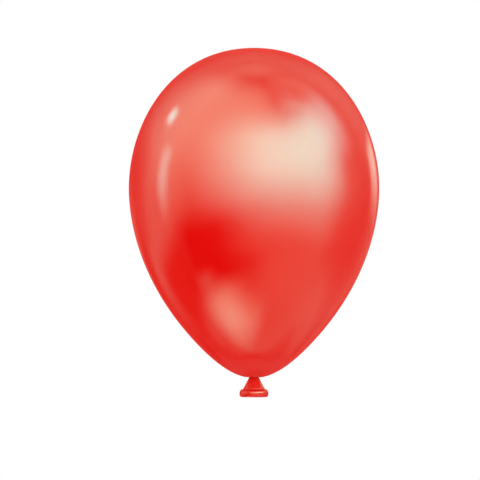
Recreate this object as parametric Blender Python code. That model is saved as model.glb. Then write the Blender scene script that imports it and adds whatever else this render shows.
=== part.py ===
"""An inflated and tied latex party balloon at its real size, in metres, with +Z up.

The origin is the middle of the pinched neck, where a ribbon would be tied and
where the knot and the loose tail turn. The body stands above it, the tail hangs below.
"""
import math

import bmesh
import bpy
import numpy as np
from mathutils import Vector
from mathutils.geometry import interpolate_bezier

# Body: outline from the crown down to the lip of the dimple at its base.
BODY_DIAMETER = 0.2505
BODY_HEIGHT = 0.3300
BELLY_HEIGHT = 0.1896
FLANK_DIAMETER = 0.1250
FLANK_HEIGHT = 0.0400
FLANK_LEAN = 42.0
LIP_DIAMETER = 0.0170
LIP_HEIGHT = 0.0008
LIP_LEAN = 11.0
LIP_ROUND = 0.0012
SKIN = 0.0004

# How far each end of the three outline curves holds its direction, as a share of its span.
CROWN_FULLNESS = 0.676
BELLY_RISE = 0.452
BELLY_DROP = 0.172
FLANK_RISE = 0.560
FLANK_DROP = 0.569
BASE_FULLNESS = 0.185

# Dimple that takes the knot.
ROOF_ROUND = 0.0030

# Knot: one cord with a ball at its lower end and a bulb above the neck hole.
CORD_DIAMETER = 0.0016
CORD_GAP = 0.0007
CORD_TURNS = 1.5
BALL_DIAMETER = 0.0052
BULB_DIAMETER = 0.0044

# Shape of the knot: lead and bight in widths of the twined pair, angles in degrees.
LEAD_SHARE = 1.20
LEAD_SWEEP = 120.0
BIGHT_SHARE = 1.72
BIGHT_SWAY = 45.0
BIGHT_DIP = 0.22

# Tail: gathered collar round the ball, then the flared skirt.
PINCH_DIAMETER = 0.0099
SKIRT_LEAN = 28.4
SKIRT_LENGTH = 0.0114
SKIRT_WALL = 0.0007
COLLAR_WALL = 0.0008
COLLAR_UNDER = 125.0
TAIL_SWING = 30.0
SWING_SPARE = 3.0

# Rolled rim round the mouth: its height, its film and the gap between the turns.
BEAD_HEIGHT = 0.0077
BEAD_WALL = 0.0008
BEAD_GAP = 0.0005

# Fits between neighbouring pieces.
CLEARANCE = 0.0003

# Mesh fineness.
BODY_SEGMENTS = 48
TAIL_SEGMENTS = 36
CORD_SEGMENTS = 12
CORD_STEP = 0.0005
CORD_PASSES = 2
MERGE = 0.000001


def clear_scene():
    """Remove whatever objects the scene starts with."""
    for thing in list(bpy.data.objects):
        bpy.data.objects.remove(thing, do_unlink=True)


def latex(name, colour, roughness):
    """Return a Principled material for one shade of the latex."""
    material = bpy.data.materials.new(name)
    material.use_nodes = True
    shader = material.node_tree.nodes["Principled BSDF"]
    shader.inputs["Base Color"].default_value = (*colour, 1.0)
    shader.inputs["Roughness"].default_value = roughness
    shader.inputs["Metallic"].default_value = 0.0
    return material


def bezier(start, start_handle, end_handle, end, count):
    """Return count + 1 points (radius, height) along one cubic curve."""
    flat = [Vector((p[0], 0.0, p[1])) for p in (start, start_handle, end_handle, end)]
    return [(p.x, p.z) for p in interpolate_bezier(*flat, count + 1)]


def arc(centre, radius, start, end, count):
    """Return count + 1 points on an arc, with its two angles in degrees."""
    angles = [math.radians(start + (end - start) * i / count) for i in range(count + 1)]
    return [(centre[0] + radius * math.cos(a), centre[1] + radius * math.sin(a)) for a in angles]


def joined(*runs):
    """String runs of points together and drop points that repeat the one before."""
    points = []
    for point in (p for run in runs for p in run):
        if not points or math.dist(point, points[-1]) > MERGE:
            points.append(point)
    return points


def ribbon(line, wall):
    """Return the outline of a film of even thickness that follows a line of points."""
    line = [Vector(point) for point in line]
    runs = [(end - start).normalized() for start, end in zip(line, line[1:])]
    left, right = [], []
    for point, before, after in zip(line, runs[:1] + runs, runs + runs[-1:]):
        across = (before + after).normalized().orthogonal()
        reach = wall / 2 / across.dot(before.orthogonal())
        left.append(tuple(point + reach * across))
        right.append(tuple(point - reach * across))
    return left + right[::-1]


def revolve(name, points, segments, material, closed):
    """Turn a profile of (radius, height) points round the Z axis with a Screw modifier."""
    mesh = bpy.data.meshes.new(name)
    shape = bmesh.new()
    corners = [shape.verts.new((radius, 0.0, height)) for radius, height in points]
    for first, second in zip(corners, corners[1:]):
        shape.edges.new((first, second))
    if closed:
        shape.edges.new((corners[-1], corners[0]))
    shape.to_mesh(mesh)
    shape.free()
    mesh.materials.append(material)
    piece = bpy.data.objects.new(name, mesh)
    bpy.context.scene.collection.objects.link(piece)
    screw = piece.modifiers.new("Turn", "SCREW")
    screw.steps = segments
    screw.render_steps = segments
    screw.use_merge_vertices = True
    screw.merge_threshold = MERGE
    screw.use_smooth_shade = True
    return piece


def socket_radius():
    """Return the radius of the hollow that turns on the ball."""
    return BALL_DIAMETER / 2 + CLEARANCE


def socket_angle():
    """Return the half angle of the opening that lets the cord through at full swing."""
    cord = math.asin((CORD_DIAMETER / 2 + CLEARANCE) / socket_radius())
    return cord + math.radians(TAIL_SWING + SWING_SPARE)


def flank_point(height):
    """Return the point on the outside of the skirt at one height."""
    return PINCH_DIAMETER / 2 - height * math.tan(math.radians(SKIRT_LEAN)), height


def shoulder():
    """Return the rounded top of the collar, from its opening out to the skirt."""
    outer = socket_radius() + COLLAR_WALL
    rim = (outer * math.sin(socket_angle()), outer * math.cos(socket_angle()))
    foot = flank_point(rim[1] - COLLAR_WALL)
    corner = flank_point(rim[1])
    return bezier(rim, corner, corner, foot, 5)


def collar_reach():
    """Return how high the top of the collar rises when the tail swings all the way."""
    swing = math.radians(TAIL_SWING)
    return max(height * math.cos(swing) + radius * math.sin(swing) for radius, height in shoulder())


def pair_width():
    """Return the distance between the middles of two neighbouring cords of the knot."""
    return CORD_DIAMETER + CORD_GAP


def twine_height():
    """Return the height of the twined turns, steep enough to keep the gap along the slope."""
    return CORD_TURNS * pair_width() / math.sqrt(0.25 - 1 / math.pi**2)


def twine_floor():
    """Return the height of the foot of the twined turns, with the bight clear of the collar."""
    return collar_reach() + CLEARANCE + CORD_DIAMETER


def roof_height():
    """Return the height of the roof of the dimple, where the cord is back on the axis."""
    return twine_floor() + twine_height() + LEAD_SHARE * pair_width()


def body_profile():
    """Return the outside of the skin from the crown to the neck hole."""
    belly = BODY_DIAMETER / 2
    flank = Vector((FLANK_DIAMETER / 2, FLANK_HEIGHT))
    lip = Vector((LIP_DIAMETER / 2, LIP_HEIGHT))
    lean = math.radians(FLANK_LEAN)
    tilt = math.radians(LIP_LEAN)
    along_flank = Vector((math.sin(lean), math.cos(lean)))
    along_lip = Vector((math.cos(tilt), math.sin(tilt)))
    upper = BODY_HEIGHT - BELLY_HEIGHT
    middle = BELLY_HEIGHT - FLANK_HEIGHT
    lower = (flank - lip).length
    crown = bezier(
        (0.0, BODY_HEIGHT),
        (CROWN_FULLNESS * belly, BODY_HEIGHT),
        (belly, BELLY_HEIGHT + BELLY_RISE * upper),
        (belly, BELLY_HEIGHT),
        12,
    )
    sides = bezier(
        (belly, BELLY_HEIGHT),
        (belly, BELLY_HEIGHT - BELLY_DROP * middle),
        flank + FLANK_RISE * middle * along_flank,
        flank,
        9,
    )
    bottom = bezier(
        flank,
        flank - FLANK_DROP * lower * along_flank,
        lip + BASE_FULLNESS * lower * along_lip,
        lip,
        8,
    )
    centre = lip + LIP_ROUND * Vector((-math.sin(tilt), math.cos(tilt)))
    roll = arc(centre, LIP_ROUND, LIP_LEAN - 90.0, -180.0, 4)
    corner = (centre.x - LIP_ROUND - ROOF_ROUND, roof_height() - ROOF_ROUND)
    roof = arc(corner, ROOF_ROUND, 0.0, 90.0, 4)
    hole = [(CORD_DIAMETER / 2 + CLEARANCE, roof_height())]
    return joined(crown, sides, bottom, roll, roof, hole)


def build_envelope(material):
    """Build the inflated skin as a thin shell, open at the neck."""
    piece = revolve("envelope", body_profile(), BODY_SEGMENTS, material, False)
    skin = piece.modifiers.new("Skin", "SOLIDIFY")
    skin.thickness = SKIN
    skin.offset = -1.0
    skin.use_even_offset = True
    return piece


def evenly(path, step):
    """Return the path with its points an even step apart."""
    lengths = np.linalg.norm(np.diff(path, axis=0), axis=1)
    along = np.concatenate([[0.0], np.cumsum(lengths)])
    marks = np.linspace(0.0, along[-1], round(along[-1] / step) + 1)
    return np.column_stack([np.interp(marks, along, path[:, axis]) for axis in range(3)])


def knot_path():
    """Return the middle line of an overhand knot.

    The cord comes down the axis, twines down, climbs back outside as a bight,
    twines down again beside itself and leaves down the axis.
    """
    share = np.linspace(0.0, 1.0, 160)
    ease = share * share * (3 - 2 * share)
    radius = pair_width() / 2
    tall = twine_height()
    lead = LEAD_SHARE * pair_width()
    sweep = math.radians(LEAD_SWEEP)
    turns = 2 * math.pi * CORD_TURNS
    wave = np.sin(2 * math.pi * share)

    def ring(out, angle, height):
        return np.column_stack([out * np.cos(angle), out * np.sin(angle), twine_floor() + height])

    swing_out = (BIGHT_SHARE * pair_width() - radius) * np.sin(math.pi * share) ** 2
    sway = math.pi + math.radians(BIGHT_SWAY) * wave
    top = roof_height() + SKIN + CLEARANCE + BULB_DIAMETER
    axis = [[(0.0, 0.0, top)], [(0.0, 0.0, -BALL_DIAMETER / 2)]]
    path = np.vstack(
        [
            axis[0],
            ring(radius * ease, sweep * (share - 1), tall + lead * (1 - share)),
            ring(np.full_like(share, radius), turns * share, tall * (1 - share)),
            ring(radius + swing_out, sway, tall * (share - BIGHT_DIP * wave)),
            ring(np.full_like(share, radius), math.pi + turns * share, tall * (1 - share)),
            ring(radius * (1 - ease), math.pi + turns + sweep * share, -lead * share),
            axis[1],
        ]
    )
    path = evenly(path, CORD_STEP)
    for _ in range(CORD_PASSES):
        path[1:-1] = (path[:-2] + 2 * path[1:-1] + path[2:]) / 4
    return evenly(path, CORD_STEP)


def cord_widths(path):
    """Return the cord's half width at each point, swelling to the bulb and the ball."""
    bulb = path[0, 2] - BULB_DIAMETER / 2
    height = path[:, 2]
    above = (BULB_DIAMETER / 2) ** 2 - (height - bulb) ** 2
    below = (BALL_DIAMETER / 2) ** 2 - height**2
    round_end = np.sqrt(np.maximum(np.maximum(above, below), 0.0))
    plain = np.full_like(height, CORD_DIAMETER / 2)
    plain[[0, -1]] = CORD_GAP
    return np.maximum(round_end, plain)


def least_gap(path):
    """Return the least gap of the cord to itself, leaving out close neighbours along it."""
    apart = np.linalg.norm(path[:, None] - path[None], axis=2)
    index = np.arange(len(path))
    near = np.abs(index[:, None] - index[None]) * CORD_STEP < 2 * CORD_DIAMETER
    return apart[~near].min() - CORD_DIAMETER


def build_knot(material):
    """Build the tied neck as one unbroken cord."""
    path = knot_path()
    print("least gap of the knot to itself, mm:", round(least_gap(path) * 1000, 3))
    data = bpy.data.curves.new("knot_line", "CURVE")
    data.dimensions = "3D"
    data.bevel_depth = CORD_DIAMETER / 2
    data.bevel_resolution = CORD_SEGMENTS // 2 - 2
    data.use_fill_caps = True
    line = data.splines.new("POLY")
    line.points.add(len(path) - 1)
    for point, place, width in zip(line.points, path, cord_widths(path)):
        point.co = (*place, 1.0)
        point.radius = width / (CORD_DIAMETER / 2)
    drawn = bpy.data.objects.new("knot_line", data)
    bpy.context.scene.collection.objects.link(drawn)
    solid = drawn.evaluated_get(bpy.context.evaluated_depsgraph_get())
    mesh = bpy.data.meshes.new_from_object(solid)
    bpy.data.objects.remove(drawn, do_unlink=True)
    shape = bmesh.new()
    shape.from_mesh(mesh)
    bmesh.ops.remove_doubles(shape, verts=shape.verts, dist=MERGE)
    bmesh.ops.recalc_face_normals(shape, faces=shape.faces)
    shape.to_mesh(mesh)
    shape.free()
    mesh.materials.clear()
    mesh.materials.append(material)
    mesh.shade_smooth()
    piece = bpy.data.objects.new("neck_knot", mesh)
    bpy.context.scene.collection.objects.link(piece)
    return piece


def skirt_bore():
    """Return the outer radius of the skirt where it runs straight inside the bead."""
    return flank_point(-SKIRT_LENGTH)[0] - CLEARANCE


def build_tail(material):
    """Build the loose tail: a collar that turns on the ball and a flared, hollow skirt."""
    slope = math.tan(math.radians(SKIRT_LEAN))
    inset = SKIRT_WALL / math.cos(math.radians(SKIRT_LEAN))
    outer = skirt_bore()
    inner = outer - SKIRT_WALL
    end = BEAD_WALL + CLEARANCE - SKIRT_LENGTH - BEAD_HEIGHT
    neck_in = flank_point(CLEARANCE - SKIRT_LENGTH)
    bend = (PINCH_DIAMETER / 2 - inset - inner) / slope
    under = math.radians(COLLAR_UNDER)
    ledge = (socket_radius() * math.sin(under), socket_radius() * math.cos(under))
    vault = ledge[1] - COLLAR_WALL
    spring = (flank_point(vault)[0] - inset, vault)
    socket = arc((0.0, 0.0), socket_radius(), 90.0 - COLLAR_UNDER, 90.0 - math.degrees(socket_angle()), 8)
    skirt = [neck_in, (outer, -SKIRT_LENGTH), (outer, end), (inner, end), (inner, bend), spring]
    return revolve("tail_skirt", joined(shoulder(), skirt, socket), TAIL_SEGMENTS, material, True)


def build_bead(material):
    """Build the rolled rim as a rolled-up film.

    It starts as a foot under the edge of the skirt, turns out and up, over the
    top, down beside the skirt and up again in the middle of its own roll.
    """
    pitch = BEAD_WALL + BEAD_GAP
    bend = pitch / 2
    top = -SKIRT_LENGTH - BEAD_WALL / 2
    base = BEAD_WALL / 2 - SKIRT_LENGTH - BEAD_HEIGHT
    inner = skirt_bore() + CLEARANCE + BEAD_WALL / 2
    middle = inner + bend
    corner = inner + 2 * pitch - middle
    line = joined(
        [(skirt_bore() - SKIRT_WALL, base)],
        arc((middle, base + corner), corner, -90.0, 0.0, 4),
        arc((middle, top - corner), corner, 0.0, 90.0, 4),
        arc((middle, top - bend), bend, 90.0, 180.0, 3),
        arc((middle, base + pitch + bend), bend, 180.0, 360.0, 4),
        [(inner + pitch, top - pitch)],
    )
    return revolve("mouth_bead", ribbon(line, BEAD_WALL), TAIL_SEGMENTS, material, True)


def main():
    """Build the four pieces, each hung on the one it moves with."""
    clear_scene()
    envelope = build_envelope(latex("latex_body", (0.80, 0.045, 0.030), 0.32))
    knot = build_knot(latex("latex_neck", (0.66, 0.020, 0.016), 0.45))
    tail = build_tail(latex("latex_tail", (0.72, 0.026, 0.020), 0.40))
    bead = build_bead(latex("latex_bead", (0.70, 0.024, 0.018), 0.38))
    knot.parent = envelope
    tail.parent = knot
    bead.parent = tail


main()
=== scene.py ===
"""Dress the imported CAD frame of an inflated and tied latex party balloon.

Metres, +Z up. The origin is the middle of the pinched neck: the blown body stands
above it, the loose tail with its rolled rim hangs below.
"""

from __future__ import annotations

import logging
import math
from collections.abc import Sequence
from dataclasses import dataclass
from enum import Enum
from functools import cache, reduce

import bpy
import numpy as np
from bpy.types import ID, Material, Mesh, Node, NodeSocket, NodeTree, Object
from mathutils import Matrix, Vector
from mathutils.geometry import interpolate_bezier

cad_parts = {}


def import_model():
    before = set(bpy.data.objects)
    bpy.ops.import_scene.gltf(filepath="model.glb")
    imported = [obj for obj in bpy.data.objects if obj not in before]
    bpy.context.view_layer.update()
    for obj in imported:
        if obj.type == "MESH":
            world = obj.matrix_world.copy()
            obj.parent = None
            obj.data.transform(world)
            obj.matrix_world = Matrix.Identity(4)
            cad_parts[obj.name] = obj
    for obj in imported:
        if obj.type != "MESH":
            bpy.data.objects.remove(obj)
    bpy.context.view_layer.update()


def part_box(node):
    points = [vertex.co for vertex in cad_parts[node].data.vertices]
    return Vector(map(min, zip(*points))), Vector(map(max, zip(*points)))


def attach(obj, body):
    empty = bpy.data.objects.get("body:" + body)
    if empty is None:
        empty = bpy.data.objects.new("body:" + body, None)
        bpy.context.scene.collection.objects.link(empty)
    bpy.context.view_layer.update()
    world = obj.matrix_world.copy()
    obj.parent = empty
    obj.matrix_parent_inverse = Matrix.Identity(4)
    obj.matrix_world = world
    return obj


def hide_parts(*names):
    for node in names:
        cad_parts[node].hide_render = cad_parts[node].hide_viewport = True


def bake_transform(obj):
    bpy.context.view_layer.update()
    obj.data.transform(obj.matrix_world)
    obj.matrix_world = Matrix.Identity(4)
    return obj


LOG = logging.getLogger("latex_balloon")

Point = tuple[float, float]
Span = tuple[float, float]
Place = tuple[float, float, float]
Colour = tuple[float, float, float]
Values = dict[str | int, object]

MERGE = 1e-6
WHITE = (1.0, 1.0, 1.0, 1.0)

# Pleats: how far they stray round the film, and how often their places and their depths change.
PLEAT_STRAY = 12.0
STRAY_SCALE = 1.7
DEPTH_SCALE = 3.1

# Film: noise levels between which marks, patches and specks fade in, what a mark adds to the
# depth of colour and to the roughness, the powder's share of the colour, and how the film mirrors.
MARK_EDGES = (0.25, 0.75)
PATCH_EDGES = (0.35, 0.7)
SPECK_START = 0.75
SPECK_GAIN = 0.5
SPECK_EDGE = 0.12
MARK_DEPTH = 0.05
MARK_ROUGHNESS = 0.04
POWDER_SHARE = 0.01
FILM_IOR = 1.50
SPECULAR_TINT = (1.0, 0.94, 0.70, 1.0)

# Degrees between the points of a reflection card.
CARD_STEP = 4.0

# Places of the colours among the inputs and outputs of a Mix node.
MIX_FIRST = 6
MIX_SECOND = 7
MIX_RESULT = 2


class Body(Enum):
    """The CAD bodies that the pieces ride on."""

    BULB = "bulb"
    KNOT = "knot"
    TAIL = "tail"


class Stretch(Enum):
    """States of stretch, each with the share of the thick film's colour that it starts from."""

    BLOWN = 0.0
    DRAWN = 0.45
    SLACK = 0.25
    ROLLED = 0.30


class TreeKind(Enum):
    """Kinds of node group."""

    SHAPE = "GeometryNodeTree"
    MASK = "ShaderNodeTree"


class Socket(Enum):
    """Types of a node group's sockets."""

    GEOMETRY = "NodeSocketGeometry"
    MATERIAL = "NodeSocketMaterial"
    VECTOR = "NodeSocketVector"
    INT = "NodeSocketInt"
    FLOAT = "NodeSocketFloat"


# Profiles: runs of (radius, height) points.


def bezier(start: Point, start_handle: Point, end_handle: Point, end: Point, steps: int) -> list[Point]:
    """Return points in even steps along one cubic curve, which leaves and arrives by its handles."""
    flat = [Vector((p[0], 0.0, p[1])) for p in (start, start_handle, end_handle, end)]
    return [(p.x, p.z) for p in interpolate_bezier(*flat, steps + 1)]


def arc(centre: Point, radius: float, start: float, end: float, steps: int) -> list[Point]:
    """Return points in even steps along one arc, from the start to the end angle in degrees."""
    angles = [math.radians(start + (end - start) * i / steps) for i in range(steps + 1)]
    return [(centre[0] + radius * math.cos(a), centre[1] + radius * math.sin(a)) for a in angles]


def line(start: Point, end: Point, steps: int) -> list[Point]:
    """Return points in even steps along one straight run."""
    shares = [i / steps for i in range(steps + 1)]
    return [(start[0] + (end[0] - start[0]) * s, start[1] + (end[1] - start[1]) * s) for s in shares]


def joined(*runs: list[Point]) -> list[Point]:
    """String runs of points together.

    Args:
        runs: Runs in their order along the profile.

    Returns:
        All points, without those that repeat the one before.
    """
    points: list[Point] = []
    for point in (p for run in runs for p in run):
        if not points or math.dist(point, points[-1]) > MERGE:
            points.append(point)
    return points


def beside(points: list[Point], reach: float) -> list[Point]:
    """Offset a profile to its left.

    Args:
        points: The profile.
        reach: Distance of the offset; a negative one goes to the right.

    Returns:
        One point beside each point of the profile.
    """
    path = [Vector(p) for p in points]
    runs = [(b - a).normalized() for a, b in zip(path, path[1:])]
    moved: list[Point] = []
    for point, before, after in zip(path, runs[:1] + runs, runs + runs[-1:]):
        across = (before + after).normalized().orthogonal()
        moved.append(tuple(point + reach / across.dot(before.orthogonal()) * across))
    return moved


def fade(value: float, start: float, end: float) -> float:
    """Return the smooth share from 0 at start to 1 at end."""
    share = min(1.0, max(0.0, (value - start) / (end - start)))
    return share * share * (3.0 - 2.0 * share)


# Node trees.


class Graph:
    """Adds nodes to one node tree and joins them."""

    def __init__(self, tree: NodeTree) -> None:
        """Keep the tree that the nodes go into."""
        self.tree = tree

    def fill(self, node: Node, values: Values) -> None:
        """Join sockets to a node's inputs, or set plain values on them.

        Args:
            node: The node.
            values: Values or sockets for the inputs, by name or place.
        """
        for key, value in values.items():
            if isinstance(value, NodeSocket):
                self.tree.links.new(value, node.inputs[key])
            else:
                node.inputs[key].default_value = value

    def add(self, kind: str, values: Values | None = None, **settings: object) -> Node:
        """Add a node.

        Args:
            kind: Blender's identifier of the node type.
            values: Values or sockets for the inputs, by name or place.
            settings: Properties of the node.

        Returns:
            The new node.
        """
        node = self.tree.nodes.new(kind)
        for name, value in settings.items():
            setattr(node, name, value)
        self.fill(node, values or {})
        return node

    def out(self, kind: str, values: Values | None = None, **settings: object) -> NodeSocket:
        """Add a node as add() does, and return its first output."""
        return self.add(kind, values, **settings).outputs[0]

    def math(self, operation: str, *values: object, clamp: bool = False) -> NodeSocket:
        """Return the result of a Math node on numbers or sockets, kept between 0 and 1 if clamped."""
        return self.out("ShaderNodeMath", dict(enumerate(values)), operation=operation, use_clamp=clamp)

    def times(self, *values: object) -> NodeSocket:
        """Return the product of numbers or sockets, taken from left to right."""
        return reduce(lambda first, second: self.math("MULTIPLY", first, second), values)

    def ramp(
        self, value: object, low: object, high: object, first: float = 0.0, last: float = 1.0
    ) -> NodeSocket:
        """Return a value on a smooth ramp, from first at the low end to last at the high end."""
        values = {"Value": value, "From Min": low, "From Max": high, "To Min": first, "To Max": last}
        return self.out("ShaderNodeMapRange", values, interpolation_type="SMOOTHSTEP")

    def blend(self, share: object, first: object, second: object) -> NodeSocket:
        """Return the mix of two colours or sockets by the share of the second."""
        values = {0: share, MIX_FIRST: first, MIX_SECOND: second}
        return self.add("ShaderNodeMix", values, data_type="RGBA").outputs[MIX_RESULT]

    def noise(self, vector: NodeSocket, scale: object, detail: float) -> NodeSocket:
        """Return the value of a Noise texture."""
        return self.out("ShaderNodeTexNoise", {"Vector": vector, "Scale": scale, "Detail": detail})

    def vector(self, *parts: object) -> NodeSocket:
        """Return the vector of three parts."""
        return self.out("ShaderNodeCombineXYZ", dict(enumerate(parts)))

    def parts(self, vector: NodeSocket) -> list[NodeSocket]:
        """Return the three parts of a vector."""
        return list(self.add("ShaderNodeSeparateXYZ", {0: vector}).outputs)

    def note(self, shape: NodeSocket, name: str, value: NodeSocket) -> NodeSocket:
        """Keep a number on each point of a geometry, and return the geometry."""
        values = {"Geometry": shape, "Name": name, "Value": value}
        return self.out("GeometryNodeStoreNamedAttribute", values, data_type="FLOAT", domain="POINT")

    def noted(self, name: str) -> NodeSocket:
        """Return a number that was kept on the points."""
        return self.out("GeometryNodeInputNamedAttribute", {"Name": name}, data_type="FLOAT")


class Group(Graph):
    """A node group with named inputs and one output."""

    def __init__(self, kind: TreeKind, name: str, gives: str, takes: dict[str, Socket | float]) -> None:
        """Start the group.

        Args:
            kind: Whether it makes a shape or a mask.
            name: Name of the group.
            gives: Name of its output.
            takes: Names of its inputs, each with a default value or else a socket type.
        """
        super().__init__(bpy.data.node_groups.new(name, kind.value))
        for label, default in takes.items():
            plain = Socket.INT if isinstance(default, int) else Socket.FLOAT
            sort = default if isinstance(default, Socket) else plain
            made = self.tree.interface.new_socket(label, in_out="INPUT", socket_type=sort.value)
            if sort is plain:
                made.default_value = default
        result = Socket.GEOMETRY if kind is TreeKind.SHAPE else Socket.FLOAT
        self.tree.interface.new_socket(gives, in_out="OUTPUT", socket_type=result.value)
        self.take = self.add("NodeGroupInput").outputs
        self.target = self.add("NodeGroupOutput")

    def end(self, result: NodeSocket) -> NodeTree:
        """Join the result to the output and return the finished tree."""
        self.fill(self.target, {0: result})
        return self.tree

    def end_shape(self, shape: NodeSocket) -> NodeTree:
        """End a geometry tree with smooth shading, real geometry and its material.

        Args:
            shape: The geometry.

        Returns:
            The finished tree.
        """
        for step in ("GeometryNodeSetShadeSmooth", "GeometryNodeRealizeInstances"):
            shape = self.out(step, {"Geometry": shape})
        dressed = {"Geometry": shape, "Material": self.take["Material"]}
        return self.end(self.out("GeometryNodeSetMaterial", dressed))


@cache
def turned_film_tree() -> NodeTree:
    """Build the tree that turns a profile round the Z axis and gathers it in pleats.

    The profile is a line of points with a "gather" attribute: how much of the pleat
    depth each point gets. The pleats stay on the mesh as the "crease" attribute.

    Returns:
        The geometry node tree.
    """
    group = Group(TreeKind.SHAPE, "turned_film", "Film", {
        "Profile": Socket.GEOMETRY, "Segments": 96, "Pleats": 12, "Pleat Depth": 0.0, "Unevenness": 0.4,
        "Seed": 1.0, "Material": Socket.MATERIAL,
    })
    take = group.take
    profile = take["Profile"]
    rings = group.out("GeometryNodeAttributeDomainSize", {"Geometry": profile})
    columns = group.math("ADD", take["Segments"], 1)
    grid = group.out("GeometryNodeMeshGrid", {"Vertices X": columns, "Vertices Y": rings})
    index = group.out("GeometryNodeInputIndex")
    ring = group.math("MODULO", index, rings)
    # Half a step keeps the division clear of rounding.
    column = group.math("FLOOR", group.math("DIVIDE", group.math("ADD", index, 0.5), rings))
    angle = group.times(group.math("DIVIDE", column, take["Segments"]), math.tau)
    spot = {"Geometry": profile, "Index": ring, "Value": group.out("GeometryNodeInputPosition")}
    weight = {"Geometry": profile, "Index": ring, "Value": group.noted("gather")}
    gather = group.out("GeometryNodeSampleIndex", weight, data_type="FLOAT")
    radius, _, height = group.parts(group.out("GeometryNodeSampleIndex", spot, data_type="FLOAT_VECTOR"))
    cosine = group.math("COSINE", angle)
    sine = group.math("SINE", angle)
    way = group.vector(cosine, sine, take["Seed"])
    stray = group.times(group.noise(way, STRAY_SCALE, detail=1.0), take["Unevenness"], PLEAT_STRAY)
    wave = group.math("SINE", group.math("ADD", group.times(angle, take["Pleats"]), stray))
    depth = group.times(group.noise(way, DEPTH_SCALE, detail=0.0), 2.0)
    crease = group.times(wave, depth, gather)
    pleated = group.math("MULTIPLY_ADD", crease, take["Pleat Depth"], radius)
    point = group.vector(group.times(pleated, cosine), group.times(pleated, sine), height)
    film = {"Geometry": group.note(grid, "crease", crease), "Position": point}
    turned = group.out("GeometryNodeSetPosition", film)
    closed = group.out("GeometryNodeMergeByDistance", {"Geometry": turned, "Distance": MERGE})
    return group.end_shape(group.out("GeometryNodeFlipFaces", {"Mesh": closed}))


@cache
def drawn_neck_tree() -> NodeTree:
    """Build the tree that runs a twisted, fluted cord of film along a path.

    The path is a line of points with a "half_width" attribute.

    Returns:
        The geometry node tree.
    """
    group = Group(TreeKind.SHAPE, "drawn_neck", "Cord", {
        "Path": Socket.GEOMETRY, "Sides": 20, "Flutes": 5, "Flute Depth": 0.0, "Twist": 0.0,
        "Material": Socket.MATERIAL,
    })
    take = group.take
    width = group.noted("half_width")
    path = group.out("GeometryNodeMeshToCurve", {"Mesh": take["Path"]})
    sized = group.out("GeometryNodeSetCurveRadius", {"Curve": path, "Radius": width})
    circle = group.out("GeometryNodeCurvePrimitiveCircle", {"Resolution": take["Sides"], "Radius": 1.0})
    spline = group.add("GeometryNodeSplineParameter").outputs
    tube = group.out("GeometryNodeCurveToMesh", {
        "Curve": group.note(sized, "along", spline["Length"]),
        "Profile Curve": group.note(circle, "around", spline["Factor"]),
        "Scale": width,
        "Fill Caps": True,
    })
    flutes = group.times(group.noted("around"), take["Flutes"], math.tau)
    wave = group.math("SINE", group.math("MULTIPLY_ADD", group.noted("along"), take["Twist"], flutes))
    push = {0: group.out("GeometryNodeInputNormal"), "Scale": group.times(wave, take["Flute Depth"])}
    offset = group.out("ShaderNodeVectorMath", push, operation="SCALE")
    cord = {"Geometry": group.note(tube, "crease", wave), "Offset": offset}
    fluted = group.out("GeometryNodeSetPosition", cord)
    return group.end_shape(group.out("GeometryNodeMergeByDistance", {"Geometry": fluted, "Distance": MERGE}))


def inputs(thing: object, *fields: str) -> Values:
    """Return fields of a thing as values for a node group's inputs of the same names."""
    return {field.replace("_", " ").title(): getattr(thing, field) for field in fields}


def placed(name: str, data: ID) -> Object:
    """Add an object to the scene.

    Args:
        name: Its name.
        data: Its mesh, light or camera.

    Returns:
        The object.
    """
    made = bpy.data.objects.new(name, data)
    bpy.context.scene.collection.objects.link(made)
    return made


def grown(
    name: str, points: list[Place], notes: dict[str, Sequence[float]], tree: NodeTree, values: Values
) -> Object:
    """Grow a plain mesh from a line of points with a geometry tree.

    Args:
        name: Name of the piece.
        points: The line's points.
        notes: Number attributes of the points.
        tree: The geometry tree.
        values: The tree's inputs, by name.

    Returns:
        The piece, a plain mesh at the origin.
    """
    mesh = bpy.data.meshes.new(name + "_line")
    mesh.from_pydata(points, [(i, i + 1) for i in range(len(points) - 1)], [])
    for note, numbers in notes.items():
        mesh.attributes.new(note, "FLOAT", "POINT").data.foreach_set("value", numbers)
    host = placed(name + "_line", mesh)
    maker = host.modifiers.new("Grow", "NODES")
    maker.node_group = tree
    for item in tree.interface.items_tree:
        if item.in_out == "INPUT" and item.name in values:
            maker[item.identifier] = values[item.name]
    plain = bpy.data.meshes.new_from_object(host.evaluated_get(bpy.context.evaluated_depsgraph_get()))
    plain.name = name
    host.modifiers.remove(maker)
    bpy.data.objects.remove(host, do_unlink=True)
    return placed(name, plain)


# Finishes, and the shader groups that they share.


@cache
def film_depth_tree() -> NodeTree:
    """Build the mask of how thick the film is: full at the neck and crown, clouded elsewhere.

    Returns:
        The shader group.
    """
    group = Group(TreeKind.MASK, "film_depth", "Depth", {
        "Vector": Socket.VECTOR, "Neck": 0.0, "Neck Reach": 0.05, "Crown": 1.0, "Crown Reach": 0.01,
        "Cloud Scale": 20.0, "Cloud": 0.1,
    })
    take = group.take
    height = group.parts(take["Vector"])[2]
    neck = group.ramp(height, take["Neck"], group.math("ADD", take["Neck"], take["Neck Reach"]), 1.0, 0.0)
    crown = group.ramp(height, group.math("SUBTRACT", take["Crown"], take["Crown Reach"]), take["Crown"])
    cloud = group.math("SUBTRACT", group.noise(take["Vector"], take["Cloud Scale"], detail=3.0), 0.5)
    ends = group.math("MAXIMUM", neck, crown)
    return group.end(group.math("ADD", ends, group.times(cloud, take["Cloud"]), clamp=True))


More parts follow.
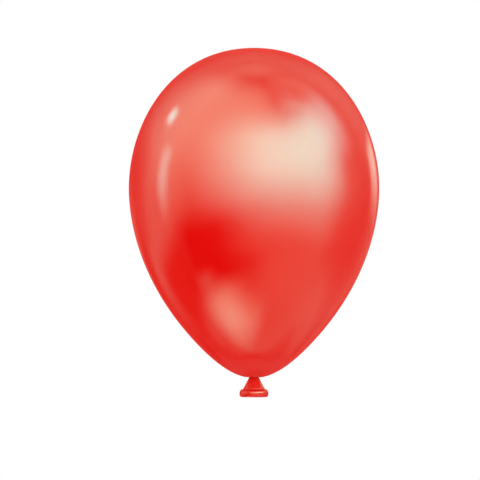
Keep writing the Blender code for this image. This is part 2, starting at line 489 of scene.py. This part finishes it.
@cache
def dip_marks_tree() -> NodeTree:
    """Build the faint marks that run along the film, as it drained off the former.

    Returns:
        The shader group.
    """
    group = Group(TreeKind.MASK, "dip_marks", "Mark", {
        "Vector": Socket.VECTOR, "Mark Scale": 60.0, "Mark Length": 12.0,
    })
    x, y, z = group.parts(group.take["Vector"])
    drawn = group.vector(x, y, group.math("DIVIDE", z, group.take["Mark Length"]))
    return group.end(group.ramp(group.noise(drawn, group.take["Mark Scale"], detail=2.0), *MARK_EDGES))


@cache
def powder_bloom_tree() -> NodeTree:
    """Build the mask of the powder, which lies in fine, patchy specks and all over thick film.

    Returns:
        The shader group.
    """
    group = Group(TreeKind.MASK, "powder_bloom", "Bloom", {
        "Vector": Socket.VECTOR, "Speck Scale": 900.0, "Patch Scale": 40.0, "Cover": 0.3, "Depth": 0.0,
    })
    take = group.take
    speck = group.noise(take["Vector"], take["Speck Scale"], detail=2.0)
    patch = group.noise(take["Vector"], take["Patch Scale"], detail=3.0)
    cover = group.times(group.math("ADD", take["Cover"], take["Depth"]), SPECK_GAIN)
    start = group.math("SUBTRACT", SPECK_START, cover)
    specks = group.ramp(speck, start, group.math("ADD", start, SPECK_EDGE))
    patches = group.math("MAXIMUM", group.ramp(patch, *PATCH_EDGES), take["Depth"])
    return group.end(group.times(specks, patches))


@cache
def film_grain_tree() -> NodeTree:
    """Build the height of the film's soft orange peel with a finer grain on it.

    Returns:
        The shader group.
    """
    group = Group(TreeKind.MASK, "film_grain", "Height", {
        "Vector": Socket.VECTOR, "Peel Scale": 120.0, "Grain Scale": 1500.0, "Grain": 0.2,
    })
    take = group.take
    peel = group.noise(take["Vector"], take["Peel Scale"], detail=1.0)
    grain = group.noise(take["Vector"], take["Grain Scale"], detail=2.0)
    return group.end(group.math("MULTIPLY_ADD", grain, take["Grain"], peel))


@dataclass(frozen=True)
class LatexFinish:
    """One state of the red latex film and how its surface looks."""

    name: str
    stretch: Stretch
    roughness: float
    coat: float
    coat_roughness: float
    cloud_scale: float
    # crease_shade: painted shade in the pleats' valleys and painted highlight on their ridges
    crease_shade: float
    specular: float = 0.5
    neck: float = -1.0
    neck_reach: float = 0.05
    crown: float = 9.0
    crown_reach: float = 0.01
    cloud: float = 0.16
    mark_scale: float = 300.0
    mark_length: float = 5.0
    mark_relief: float = 0.25
    speck_scale: float = 2500.0
    cover: float = 0.2
    peel_scale: float = 300.0
    grain_scale: float = 5000.0
    relief: float = 0.000004
    dulling: float = 0.0
    speck_dulling: float = 0.16
    thin: Colour = (0.855, 0.001, 0.001)
    thick: Colour = (0.640, 0.001, 0.001)
    powder: Colour = (0.850, 0.300, 0.260)

    def material(self) -> Material:
        """Make the finish's material.

        Returns:
            The material.
        """
        made = bpy.data.materials.new(self.name)
        made.use_nodes = True
        made.diffuse_color = (*self.thin, 1.0)
        graph = Graph(made.node_tree)
        place = graph.add("ShaderNodeTexCoord").outputs["Object"]

        def shared(tree: NodeTree, *fields: str, **sockets: NodeSocket) -> NodeSocket:
            """Return the output of a shared group, set from fields of the finish and from sockets."""
            values = {"Vector": place} | inputs(self, *fields) | sockets
            return graph.out("ShaderNodeGroup", values, node_tree=tree)

        thickness = ("neck", "neck_reach", "crown", "crown_reach", "cloud_scale", "cloud")
        depth = shared(film_depth_tree(), *thickness)
        mark = shared(dip_marks_tree(), "mark_scale", "mark_length")
        bloom = shared(powder_bloom_tree(), "speck_scale", "cover", Depth=depth)
        grain = shared(film_grain_tree(), "peel_scale", "grain_scale")
        crease = graph.add("ShaderNodeAttribute", attribute_name="crease").outputs["Fac"]
        # Painted shade and highlight: the pleats' valleys take on the thick film's deeper colour, their
        # ridges the thin film's lighter one.
        hollow = graph.math("ADD", depth, graph.times(crease, -self.crease_shade))
        marked = graph.math("MULTIPLY_ADD", mark, MARK_DEPTH, self.stretch.value)
        deep = graph.math("ADD", marked, hollow, clamp=True)
        film = graph.blend(deep, (*self.thin, 1.0), (*self.thick, 1.0))
        dull = graph.math("MULTIPLY_ADD", depth, self.dulling, self.speck_dulling)
        gloss = graph.math("MULTIPLY_ADD", mark, MARK_ROUGHNESS, self.roughness)
        height = graph.math("MULTIPLY_ADD", mark, self.mark_relief, grain)
        bump = {"Strength": 1.0, "Distance": self.relief, "Height": height}
        graph.fill(made.node_tree.nodes["Principled BSDF"], {
            "Base Color": graph.blend(graph.times(bloom, POWDER_SHARE), film, (*self.powder, 1.0)),
            "Roughness": graph.math("MULTIPLY_ADD", bloom, dull, gloss),
            "Normal": graph.out("ShaderNodeBump", bump),
            "IOR": FILM_IOR,
            "Specular Tint": SPECULAR_TINT,
            "Specular IOR Level": self.specular,
            "Coat Weight": self.coat,
            "Coat Roughness": self.coat_roughness,
            "Coat IOR": FILM_IOR,
        })
        return made


# Pieces.


@dataclass
class FrameSizes:
    """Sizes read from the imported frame, and those that more than one piece needs."""

    belly: float
    crown: float
    knot_top: float
    skirt_end: float
    bead_base: float
    skin: float = 0.0004
    cord: float = 0.0016
    bulb: float = 0.0044
    clearance: float = 0.0003

    @classmethod
    def read(cls) -> FrameSizes:
        """Return the sizes of the loaded frame."""
        skin, knot, tail, bead = (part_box(n) for n in ("envelope", "neck_knot", "tail_skirt", "mouth_bead"))
        return cls(skin[1][0], skin[1][2], knot[1][2], tail[0][2], bead[0][2])

    def roof(self) -> float:
        """Return the height of the dimple's roof, under the bulb of the knot."""
        return self.knot_top - self.bulb - self.clearance - self.skin


@dataclass
class TurnedFilm:
    """A piece of film that is turned from a profile and gathered in pleats."""

    frame: FrameSizes
    name: str = ""
    node: str = ""
    body: Body = Body.TAIL
    segments: int = 144
    pleats: int = 12
    pleat_depth: float = 0.0
    unevenness: float = 0.4
    seed: float = 1.0

    def profile(self) -> list[Point]:
        """Return the closed profile of the film."""
        raise NotImplementedError

    def gathers(self, points: list[Point]) -> list[float]:
        """Return how much of the pleats each point of the profile gets."""
        raise NotImplementedError

    def bend(self) -> tuple[Vector, Vector] | None:
        """Return where the film starts and ends to bend, if it does."""
        return None

    def build(self, material: Material) -> None:
        """Build the piece from its profile.

        Args:
            material: Its finish.
        """
        points = self.profile()
        notes = {"gather": self.gathers(points)}
        values = inputs(self, "segments", "pleats", "pleat_depth", "unevenness", "seed")
        values["Material"] = material
        piece = grown(self.name, [(r, 0.0, z) for r, z in points], notes, turned_film_tree(), values)
        settle(piece, self.body, self.node, self.bend())


@dataclass
class Envelope(TurnedFilm):
    """The blown skin: a thin shell from the crown down into the dimple that takes the knot."""

    name: str = "blown_skin"
    node: str = "envelope"
    body: Body = Body.BULB
    segments: int = 192
    pleats: int = 22
    pleat_depth: float = 0.00022
    unevenness: float = 0.35
    seed: float = 3.0
    pleat_reach: float = 0.016
    belly_height: float = 0.1896
    flank_radius: float = 0.0625
    flank_height: float = 0.0400
    flank_lean: float = 42.0
    lip_radius: float = 0.0085
    lip_height: float = 0.0008
    lip_lean: float = 11.0
    lip_round: float = 0.0012
    crown_fullness: float = 0.676
    belly_rise: float = 0.452
    belly_drop: float = 0.172
    flank_rise: float = 0.560
    flank_drop: float = 0.569
    base_fullness: float = 0.185
    roof_round: float = 0.0030
    hole_radius: float = 0.0011

    def outside(self) -> list[Point]:
        """Sample the outside of the skin.

        Returns:
            Points from the crown to the edge of the neck hole.
        """
        crown = (0.0, self.frame.crown)
        belly = (self.frame.belly, self.belly_height)
        flank = Vector((self.flank_radius, self.flank_height))
        lip = Vector((self.lip_radius, self.lip_height))
        lean = math.radians(self.flank_lean)
        tilt = math.radians(self.lip_lean)
        along_flank = Vector((math.sin(lean), math.cos(lean)))
        along_lip = Vector((math.cos(tilt), math.sin(tilt)))
        upper = crown[1] - belly[1]
        middle = belly[1] - self.flank_height
        lower = (flank - lip).length
        over = (self.crown_fullness * belly[0], crown[1])
        top = bezier(crown, over, (belly[0], belly[1] + self.belly_rise * upper), belly, steps=40)
        under = (belly[0], belly[1] - self.belly_drop * middle)
        sides = bezier(belly, under, flank + self.flank_rise * middle * along_flank, flank, steps=30)
        leave = flank - self.flank_drop * lower * along_flank
        bottom = bezier(flank, leave, lip + self.base_fullness * lower * along_lip, lip, steps=30)
        centre = lip + self.lip_round * along_lip.orthogonal()
        roll = arc(centre, self.lip_round, self.lip_lean - 90.0, -180.0, steps=8)
        wall = centre.x - self.lip_round
        height = self.frame.roof()
        corner = (wall - self.roof_round, height - self.roof_round)
        inside = line((wall, centre.y), (wall, corner[1]), steps=6)
        roof = arc(corner, self.roof_round, 0.0, 90.0, steps=6)
        hole = line(roof[-1], (self.hole_radius, height), steps=3)
        return joined(top, sides, bottom, roll, inside, roof, hole)

    def profile(self) -> list[Point]:
        """Sample the whole skin.

        Returns:
            Points down the outside and back up the inside.
        """
        outer = self.outside()
        inner = beside(outer, -self.frame.skin)[::-1]
        inner[-1] = (0.0, self.frame.crown - self.frame.skin)
        return joined(outer, inner)

    def gathers(self, points: list[Point]) -> list[float]:
        """Return how much of the pleats each point gets: most at the lip, none up the body."""
        rim = self.lip_radius + self.pleat_reach
        return [1.0 - fade(r, self.lip_radius, rim) if z < self.flank_height else 0.0 for r, z in points]


@dataclass
class TiedNeck:
    """The neck drawn out to a cord and tied in an overhand knot inside the dimple."""

    frame: FrameSizes
    gap: float = 0.0007
    turns: float = 1.5
    ball: float = 0.0052
    tip: float = 0.0002
    lead_share: float = 1.20
    lead_sweep: float = 120.0
    bight_share: float = 1.72
    bight_sway: float = 45.0
    bight_dip: float = 0.22
    samples: int = 160
    smoothing: int = 8
    step: float = 0.00025
    sides: int = 24
    flutes: int = 6
    flute_depth: float = 0.00006
    twist: float = 1400.0

    def path(self) -> np.ndarray:
        """Follow the knot: down the axis, twined, back up outside, twined again and out.

        Returns:
            Evenly spaced points from the bulb down to the ball.
        """
        share = np.linspace(0.0, 1.0, self.samples)
        ease = share * share * (3 - 2 * share)
        pair = self.frame.cord + self.gap
        radius = pair / 2
        # The turns are just steep enough to keep the gap along their slope.
        tall = self.turns * pair / math.sqrt(0.25 - 1 / math.pi**2)
        lead = self.lead_share * pair
        floor = self.frame.roof() - tall - lead
        sweep = math.radians(self.lead_sweep)
        turns = math.tau * self.turns
        wave = np.sin(math.tau * share)

        def ring(out: np.ndarray, angle: np.ndarray, height: np.ndarray) -> np.ndarray:
            """Return points on a ring round the axis."""
            return np.column_stack([out * np.cos(angle), out * np.sin(angle), floor + height])

        even = np.full_like(share, radius)
        swing = (self.bight_share * pair - radius) * np.sin(math.pi * share) ** 2
        sway = math.pi + math.radians(self.bight_sway) * wave
        path = np.vstack([
            [(0.0, 0.0, self.frame.knot_top)],
            ring(radius * ease, sweep * (share - 1), tall + lead * (1 - share)),
            ring(even, turns * share, tall * (1 - share)),
            ring(radius + swing, sway, tall * (share - self.bight_dip * wave)),
            ring(even, math.pi + turns * share, tall * (1 - share)),
            ring(radius * (1 - ease), math.pi + turns + sweep * share, -lead * share),
            [(0.0, 0.0, -self.ball / 2)],
        ])
        path = self._evenly(path)
        for _ in range(self.smoothing):
            path[1:-1] = (path[:-2] + 2 * path[1:-1] + path[2:]) / 4
        return self._evenly(path)

    def _evenly(self, path: np.ndarray) -> np.ndarray:
        """Space a path evenly.

        Args:
            path: Its points.

        Returns:
            Points an even step apart along the same path.
        """
        lengths = np.linalg.norm(np.diff(path, axis=0), axis=1)
        along = np.append(0.0, np.cumsum(lengths))
        marks = np.linspace(0.0, along[-1], round(along[-1] / self.step) + 1)
        return np.column_stack([np.interp(marks, along, path[:, axis]) for axis in range(3)])

    def widths(self, path: np.ndarray) -> np.ndarray:
        """Find the cord's half width along a path.

        Args:
            path: Its points.

        Returns:
            One half width for each point, swelling to the bulb and the ball.
        """
        height = path[:, 2]
        bulb = self.frame.bulb / 2
        above = bulb**2 - (height - path[0, 2] + bulb) ** 2
        below = (self.ball / 2) ** 2 - height**2
        round_end = np.sqrt(np.maximum(np.maximum(above, below), 0.0))
        plain = np.full_like(height, self.frame.cord / 2)
        plain[[0, -1]] = self.tip
        return np.maximum(round_end, plain)

    def build(self, material: Material) -> None:
        """Build the tied neck.

        Args:
            material: Its finish.
        """
        path = self.path()
        notes = {"half_width": self.widths(path)}
        values = inputs(self, "sides", "flutes", "flute_depth", "twist") | {"Material": material}
        piece = grown("tied_neck", [tuple(p) for p in path], notes, drawn_neck_tree(), values)
        settle(piece, Body.KNOT, "neck_knot")


@dataclass
class TailSkirt(TurnedFilm):
    """The loose end of the neck: a gathered collar that flares to a hollow skirt."""

    name: str = "tail_film"
    node: str = "tail_skirt"
    segments: int = 156
    pleats: int = 13
    pleat_depth: float = 0.00016
    unevenness: float = 0.45
    seed: float = 7.0
    pleat_loss: float = 0.85
    pinch: float = 0.00495
    lean: float = 28.4
    length: float = 0.0114
    wall: float = 0.0007
    collar_wall: float = 0.0008
    collar_under: float = 125.0
    socket: float = 0.0029
    swing: float = 33.0
    bend_start: float = 0.0012
    bend_end: float = -0.0060

    def flank(self, height: float) -> Point:
        """Return the point on the outside of the skirt at one height."""
        return self.pinch - height * math.tan(math.radians(self.lean)), height

    def profile(self) -> list[Point]:
        """Sample the closed section of collar and skirt.

        Returns:
            Points round the section, the first one repeated at the end.
        """
        clearance = self.frame.clearance
        end = self.frame.skirt_end
        opening = math.asin((self.frame.cord / 2 + clearance) / self.socket) + math.radians(self.swing)
        rim_radius = self.socket + self.collar_wall
        rim = (rim_radius * math.sin(opening), rim_radius * math.cos(opening))
        corner = self.flank(rim[1])
        shoulder = bezier(rim, corner, corner, self.flank(rim[1] - self.collar_wall), steps=10)
        outer = self.flank(-self.length)[0] - clearance
        inner = outer - self.wall
        lean = math.radians(self.lean)
        inset = self.wall / math.cos(lean)
        vault = self.socket * math.cos(math.radians(self.collar_under)) - self.collar_wall
        spring = (self.flank(vault)[0] - inset, vault)
        bend = (inner, (self.pinch - inset - inner) / math.tan(lean))
        points = joined(
            shoulder,
            line(shoulder[-1], self.flank(clearance - self.length), steps=24),
            line((outer, -self.length), (outer, end), steps=6),
            line((inner, end), bend, steps=6),
            line(bend, spring, steps=20),
            arc((0.0, 0.0), self.socket, 90.0 - self.collar_under, 90.0 - math.degrees(opening), steps=12),
        )
        return points + points[:1]

    def gathers(self, points: list[Point]) -> list[float]:
        """Return how much of the pleats each point gets: most at the pinch, few at the rim."""
        kept = [1.0 - self.pleat_loss * fade(-z, 0.0, self.length) for _, z in points]
        return [fade(r, self.socket, self.pinch) * share for share, (r, _) in zip(kept, points)]

    def bend(self) -> tuple[Vector, Vector] | None:
        """Return the points on the axis between which the film at the pinch would turn with the tail."""
        return Vector((0.0, 0.0, self.bend_start)), Vector((0.0, 0.0, self.bend_end))


@dataclass
class MouthBead(TurnedFilm):
    """The rim of the mouth, rolled up on itself and a little wavy outside."""

    name: str = "rolled_rim"
    node: str = "mouth_bead"
    pleats: int = 5
    pleat_depth: float = 0.00006
    unevenness: float = 0.5
    seed: float = 11.0
    pleat_reach: float = 0.002
    bore: float = 0.01111
    mouth: float = 0.01011
    wall: float = 0.0008
    gap: float = 0.0005
    widest: float = 0.44
    foot_fullness: float = 0.66
    shoulder_fullness: float = 0.52
    tuck: float = 0.0010

    def roll(self) -> list[Point]:
        """Follow the film from its foot, out and up, over the top and up its own middle.

        Returns:
            Points along the middle of the film.
        """
        pitch = self.wall + self.gap
        bend = pitch / 2
        top = -TailSkirt.length - self.wall / 2
        base = self.frame.bead_base + self.wall / 2
        inner = self.bore + self.wall / 2
        middle = inner + bend
        side = (inner + 2 * pitch, base + self.widest * (top - base))
        out = side[0] - middle
        foot = (middle + self.foot_fullness * out, base)
        rise = (side[0], side[1] - self.foot_fullness * (side[1] - base))
        turn = (side[0], side[1] + self.shoulder_fullness * (top - side[1]))
        shoulder = (middle + self.shoulder_fullness * out, top)
        return joined(
            line((self.mouth, base), (middle, base), steps=5),
            bezier((middle, base), foot, rise, side, steps=16),
            bezier(side, turn, shoulder, (middle, top), steps=16),
            arc((middle, top - bend), bend, 90.0, 180.0, steps=8),
            arc((middle, base + pitch + bend), bend, 180.0, 360.0, steps=10),
            [(inner + pitch, top - pitch - self.tuck)],
        )

    def profile(self) -> list[Point]:
        """Give the rolled film its thickness.

        Returns:
            Points round the film, the first one repeated at the end.
        """
        middle = self.roll()
        points = beside(middle, self.wall / 2) + beside(middle, -self.wall / 2)[::-1]
        return points + points[:1]

    def gathers(self, points: list[Point]) -> list[float]:
        """Return how much of the waves each point gets: none in the bore, all of them outside."""
        return [fade(r, self.bore, self.bore + self.pleat_reach) for r, _ in points]


def settle(piece: Object, body: Body, node: str, bend: tuple[Vector, Vector] | None = None) -> None:
    """Put a piece in the place of its CAD node; it moves with its body unless it has a bend, and then it
    stays fixed where it is.

    Args:
        piece: The finished piece.
        body: The body that it moves with.
        node: The CAD node that it stands for.
        bend: Where the film starts and ends to turn with its body; only whether one is given is used, and a
            piece with one is not attached to its body.
    """
    if bend is None:
        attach(piece, body.value)
    else:
        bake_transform(piece)
    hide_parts(node)
    LOG.info("%s: %d faces, moves with %s", piece.name, len(piece.data.polygons), body.value)


# Studio.


def direction(azimuth: float, elevation: float) -> Vector:
    """Return the unit vector at an azimuth from the camera to its right and an elevation, in degrees."""
    a, e = math.radians(azimuth), math.radians(elevation)
    return Vector((math.sin(a) * math.cos(e), -math.cos(a) * math.cos(e), math.sin(e)))


@dataclass(frozen=True)
class Card:
    """A curved card that only reflections see, given by the directions it fills round the balloon.

    Angles are in degrees: azimuth from the camera to its right, elevation above the
    horizon. The feather is how far each edge fades: left, right, bottom and top. Facing
    says how far towards the card a spot has to lie for none and for all of its light, so
    that a strong card doesn't flood the balloon's far edge. Negative depths leave a card to
    the tail alone, which hangs beyond the middle.
    """

    name: str
    azimuth: Span
    elevation: Span
    feather: tuple[float, float, float, float]
    level: float
    tint: Colour
    radius: float
    facing: Span | None = None

    def shader(self, graph: Graph, share: NodeSocket) -> NodeSocket:
        """Return what a share of the card does to the reflections that reach it."""
        raise NotImplementedError

    def mesh(self, aim: Vector) -> Mesh:
        """Build the card as a patch of a ball, with a map across it.

        Args:
            aim: Centre of the ball.

        Returns:
            The card's mesh.
        """
        wide, tall = (max(2, round((b - a) / CARD_STEP)) for a, b in (self.azimuth, self.elevation))
        across = np.linspace(*self.azimuth, wide + 1)
        up = np.linspace(*self.elevation, tall + 1)
        places = [aim + self.radius * direction(a, e) for e in up for a in across]
        starts = [row * (wide + 1) + i for row in range(tall) for i in range(wide)]
        made = bpy.data.meshes.new(self.name)
        made.from_pydata(places, [], [(i, i + 1, i + wide + 2, i + wide + 1) for i in starts])
        spread = made.uv_layers.new(name="card")
        for corner, loop in enumerate(made.loops):
            row, column = divmod(loop.vertex_index, wide + 1)
            spread.data[corner].uv = (column / wide, row / tall)
        return made

    def material(self) -> Material:
        """Make the card's feathered light or filter.

        Returns:
            The material.
        """
        made = bpy.data.materials.new(self.name)
        made.use_nodes = True
        made.cycles.emission_sampling = "NONE"
        made.node_tree.nodes.remove(made.node_tree.nodes["Principled BSDF"])
        graph = Graph(made.node_tree)

        def feathered(place: NodeSocket, span: Span, edges: Span) -> NodeSocket:
            """Return the share of a card that fades at both ends of a span."""
            first, last = (edge / (span[1] - span[0]) for edge in edges)
            return graph.times(graph.ramp(place, 0.0, first), graph.ramp(place, 1.0 - last, 1.0, 1.0, 0.0))

        across, up, _ = graph.parts(graph.out("ShaderNodeUVMap", uv_map="card"))
        sides = feathered(across, self.azimuth, self.feather[:2])
        share = graph.times(sides, feathered(up, self.elevation, self.feather[2:]))
        if self.facing:
            length = graph.add("ShaderNodeLightPath").outputs["Ray Length"]
            none, full = (self.radius - depth for depth in self.facing)
            share = graph.times(share, graph.ramp(length, full, none, 1.0, 0.0))
        surface = self.shader(graph, graph.times(share, self.level))
        graph.fill(made.node_tree.nodes["Material Output"], {"Surface": surface})
        return made

    def place(self, aim: Vector) -> None:
        """Hang the card.

        Args:
            aim: The point that it curves round.
        """
        mesh = self.mesh(aim)
        mesh.materials.append(self.material())
        card = placed(self.name, mesh)
        for kind in ("camera", "diffuse", "transmission", "volume_scatter", "shadow"):
            setattr(card, "visible_" + kind, False)


class Glow(Card):
    """A card that adds light."""

    def shader(self, graph: Graph, share: NodeSocket) -> NodeSocket:
        """Return the card's light on top of what lies behind it."""
        light = graph.out("ShaderNodeEmission", {"Color": (*self.tint, 1.0), "Strength": share})
        return graph.out("ShaderNodeAddShader", {0: light, 1: graph.out("ShaderNodeBsdfTransparent")})


class Gel(Card):
    """A card that filters the light from behind it."""

    def shader(self, graph: Graph, share: NodeSocket) -> NodeSocket:
        """Return a clear shader that takes on the card's tint."""
        tinted = graph.blend(share, WHITE, (*self.tint, 1.0))
        return graph.out("ShaderNodeBsdfTransparent", {"Color": tinted})


@dataclass(frozen=True)
class Lamp:
    """A large soft lamp that lights the film and the floor."""

    name: str
    azimuth: float
    elevation: float
    size: float
    level: float
    distance: float = 1.6

    def place(self, aim: Vector) -> None:
        """Hang the lamp.

        Args:
            aim: The point that it faces.
        """
        data = bpy.data.lights.new(self.name, "AREA")
        data.shape = "SQUARE"
        data.size = self.size
        data.energy = self.level * math.pi * self.distance**2
        lamp = placed(self.name, data)
        away = direction(self.azimuth, self.elevation)
        lamp.location = aim + self.distance * away
        lamp.rotation_euler = away.to_track_quat("Z", "Y").to_euler()
        lamp.visible_camera = False
        lamp.visible_glossy = False


LAMPS = (
    Lamp("key_lamp", azimuth=40.0, elevation=45.0, size=1.2, level=0.08),
    Lamp("low_lamp", azimuth=0.0, elevation=-16.0, size=1.2, level=0.47),
)

# Tints of the cards, and the depths that they face.
PALE = (0.36, 0.95, 0.78)
COOL = (0.06, 0.94, 0.98)
KEY = (0.02, 0.95, 0.92)
BEAD = (0.80, 0.95, 0.72)
RED = (0.90, 0.03, 0.02)
DEEP = (0.30, 0.00, 0.00)
WARM = (1.0, 0.97, 0.76)
SQUARE = (0.066, 0.098)
NEAR = (0.052, 0.088)
SIDE = (0.03, 0.06)
RIM = (-0.008, -0.016)
TAIL = (-0.035, -0.055)

# Each card's name, azimuth, elevation, feather, level, tint, radius and facing depths.
CARDS = (
    Glow("key_card", (-68, 104), (-34, 64), (92, 52, 50, 38), 9.5, KEY, 1.5, SQUARE),
    Glow("key_core", (-22, 94), (-16, 49), (60, 36, 40, 18), 4.0, COOL, 1.48, SQUARE),
    Glow("key_lobe", (52, 117), (10, 60), (26, 24, 24, 20), 4.2, COOL, 1.47, NEAR),
    Glow("key_shoulder", (34, 82), (33, 78), (20, 26, 14, 26), 1.8, COOL, 1.46, NEAR),
    Glow("left_card", (-142, 64), (-16, 90), (72, 72, 54, 30), 3.5, PALE, 1.45, NEAR),
    Glow("bead_card", (-50, 100), (2, 30), (84, 50, 4, 18), 15.0, BEAD, 1.44, RIM),
    Glow("tail_card", (30, 150), (14, 66), (40, 40, 10, 14), 1.0, PALE, 1.44, TAIL),
    Glow("top_card", (40, 132), (46, 88), (36, 36, 14, 20), 0.8, PALE, 1.43),
    Glow("crown_card", (100, 260), (64, 90), (50, 50, 16, 0.1), 0.6, PALE, 1.42),
    Glow("left_strip", (-100, -79), (-18, 25), (10, 10, 26, 9), 3.7, COOL, 1.4, SIDE),
    Glow("left_spot", (-115, -96), (28, 40), (9, 9, 5, 5), 7.4, COOL, 1.35, SIDE),
    Glow("left_glow", (-100, -56), (-26, 14), (14, 22, 14, 14), 0.5, PALE, 1.38),
    Glow("fill_card", (0, 125), (-72, 4), (40, 30, 24, 24), 0.25, PALE, 1.3),
    Glow("rim_spot", (126, 157), (-10, 15), (9, 15, 18, 6), 1.35, PALE, 1.0),
    Glow("low_card", (-102, -4), (-78, -44), (44, 46, 16, 16), 2.8, PALE, 1.0),
    Glow("low_edge", (-84, -42), (-52, -39), (20, 20, 7, 7), 0.9, PALE, 0.97),
    Glow("foot_card", (-100, 40), (-90, -54), (56, 62, 20, 22), 2.9, PALE, 0.98),
    Gel("back_gel", (88, 250), (-58, 48), (36, 40, 40, 58), 0.78, RED, 1.1),
    Gel("far_gel", (120, 243), (-14, 80), (50, 44, 20, 48), 0.84, RED, 1.15),
    Gel("flank_gel", (-142, -62), (-60, -16.5), (28, 24, 14, 15), 0.92, RED, 1.16),
    Gel("rim_gel", (142, 236), (-56, -4), (26, 26, 22, 12), 0.75, RED, 1.17),
    Gel("foot_gel", (117, 252), (-74, -23), (30, 26, 20, 18), 0.78, RED, 1.18),
    Gel("left_gel", (202, 258), (-26, 26), (24, 24, 14, 20), 0.62, RED, 1.19),
    Gel("low_gel", (-96, 13), (-58, -5), (30, 56, 12, 20), 1.0, DEEP, 1.2),
    Gel("spot_gel", (-50, 28), (-58, -32.5), (20, 44, 17, 8.5), 0.72, DEEP, 1.21),
    Gel("side_gel", (64, 127), (-46, 2), (26, 24, 20, 20), 0.56, RED, 1.22),
    Gel("under_gel", (80, 280), (-90, -43), (50, 50, 1, 22), 0.78, RED, 1.25),
    Gel("warm_wall", (-180, 180), (-90, 90), (0.1, 0.1, 0.1, 0.1), 1.0, WARM, 1.6),
)


@dataclass
class Studio:
    """Floor, light and camera."""

    aim: Vector
    view_centre: Point = (-0.0140, 0.1379)
    view_width: float = 0.480
    view_distance: float = 5.0
    view_clip: Span = (0.1, 30.0)
    sensor: float = 36.0
    floor_height: float = -0.26
    floor_radius: float = 1.6
    floor_fade: Span = (0.45, 0.98)
    floor_sides: int = 96
    floor_colour: Colour = (0.92, 0.92, 0.92)
    floor_roughness: float = 0.9
    ambient: float = 0.88

    def build(self) -> None:
        """Build the whole set."""
        self.build_world()
        self.build_floor()
        for thing in (*LAMPS, *CARDS):
            thing.place(self.aim)
        self.build_camera()

    def build_world(self) -> None:
        """Light the set evenly, and show cameras and reflections plain white."""
        world = bpy.data.worlds.new("studio")
        world.use_nodes = True
        bpy.context.scene.world = world
        graph = Graph(world.node_tree)
        rays = graph.add("ShaderNodeLightPath").outputs
        bounced = graph.math("MAXIMUM", rays["Is Glossy Ray"], rays["Is Transmission Ray"])
        shown = graph.math("MAXIMUM", rays["Is Camera Ray"], bounced)
        level = graph.math("MULTIPLY_ADD", shown, 1.0 - self.ambient, self.ambient)
        graph.fill(world.node_tree.nodes["Background"], {"Color": WHITE, "Strength": level})

    def build_floor(self) -> None:
        """Lay a round pale floor that fades into the background."""
        edge = arc((0.0, 0.0), self.floor_radius, 0.0, 360.0, steps=self.floor_sides)[:-1]
        mesh = bpy.data.meshes.new("floor")
        mesh.from_pydata([(x, y, self.floor_height) for x, y in edge], [], [tuple(range(self.floor_sides))])
        made = bpy.data.materials.new("pale_floor")
        made.use_nodes = True
        graph = Graph(made.node_tree)
        x, y, _ = graph.parts(graph.add("ShaderNodeTexCoord").outputs["Object"])
        flat = {0: graph.vector(x, y, 0.0)}
        far = graph.add("ShaderNodeVectorMath", flat, operation="LENGTH").outputs["Value"]
        start, end = (share * self.floor_radius for share in self.floor_fade)
        graph.fill(made.node_tree.nodes["Principled BSDF"], {
            "Base Color": (*self.floor_colour, 1.0),
            "Roughness": self.floor_roughness,
            "Specular IOR Level": 0.0,
            "Alpha": graph.ramp(far, start, end, 1.0, 0.0),
        })
        mesh.materials.append(made)
        floor = placed("floor", mesh)
        floor.visible_glossy = False

    def build_camera(self) -> None:
        """Set the camera far off on a long lens, level with the middle of the picture."""
        data = bpy.data.cameras.new("camera")
        data.sensor_width = self.sensor
        data.lens = self.sensor * self.view_distance / self.view_width
        data.clip_start, data.clip_end = self.view_clip
        camera = placed("camera", data)
        camera.location = (self.view_centre[0], -self.view_distance, self.view_centre[1])
        camera.rotation_euler = (math.pi / 2, 0.0, 0.0)
        bpy.context.scene.camera = camera


BLOWN = LatexFinish(
    "blown_latex", Stretch.BLOWN, roughness=0.115, coat=0.3, coat_roughness=0.06,
    cloud_scale=22.0, crease_shade=0.12, neck=0.002, neck_reach=0.034, crown=0.3380, crown_reach=0.012,
    cloud=0.14, mark_scale=24.0, mark_relief=0.0, speck_scale=3000.0, cover=0.25, peel_scale=90.0,
    grain_scale=1500.0, relief=0.000008, dulling=0.42, speck_dulling=0.09, thick=(0.820, 0.001, 0.001),
)
DRAWN = LatexFinish(
    "drawn_latex", Stretch.DRAWN, roughness=0.46, coat=0.3, coat_roughness=0.30,
    cloud_scale=300.0, crease_shade=0.30, cloud=0.25, mark_scale=900.0, mark_length=3.0,
    speck_scale=4000.0, cover=0.4, peel_scale=1200.0, grain_scale=6000.0, relief=0.000020,
)
SLACK = LatexFinish(
    "slack_latex", Stretch.SLACK, roughness=0.24, coat=0.3, coat_roughness=0.12,
    cloud_scale=160.0, crease_shade=0.08, specular=0.35,
    thin=(0.930, 0.024, 0.016), thick=(0.800, 0.015, 0.010),
)
ROLLED = LatexFinish(
    "rolled_latex", Stretch.ROLLED, roughness=0.20, coat=0.4, coat_roughness=0.08,
    cloud_scale=180.0, crease_shade=0.06, specular=0.4, mark_length=0.2,
)


def main() -> None:
    """Load the frame, dress its four pieces and set up the studio."""
    logging.basicConfig(level=logging.INFO, format="%(name)s: %(message)s")
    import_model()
    bpy.context.scene.view_settings.view_transform = "Standard"
    sizes = FrameSizes.read()
    Envelope(sizes).build(BLOWN.material())
    TiedNeck(sizes).build(DRAWN.material())
    TailSkirt(sizes).build(SLACK.material())
    MouthBead(sizes).build(ROLLED.material())
    Studio(Vector((0.0, 0.0, Envelope.belly_height))).build()


if __name__ == "__main__":
    main()
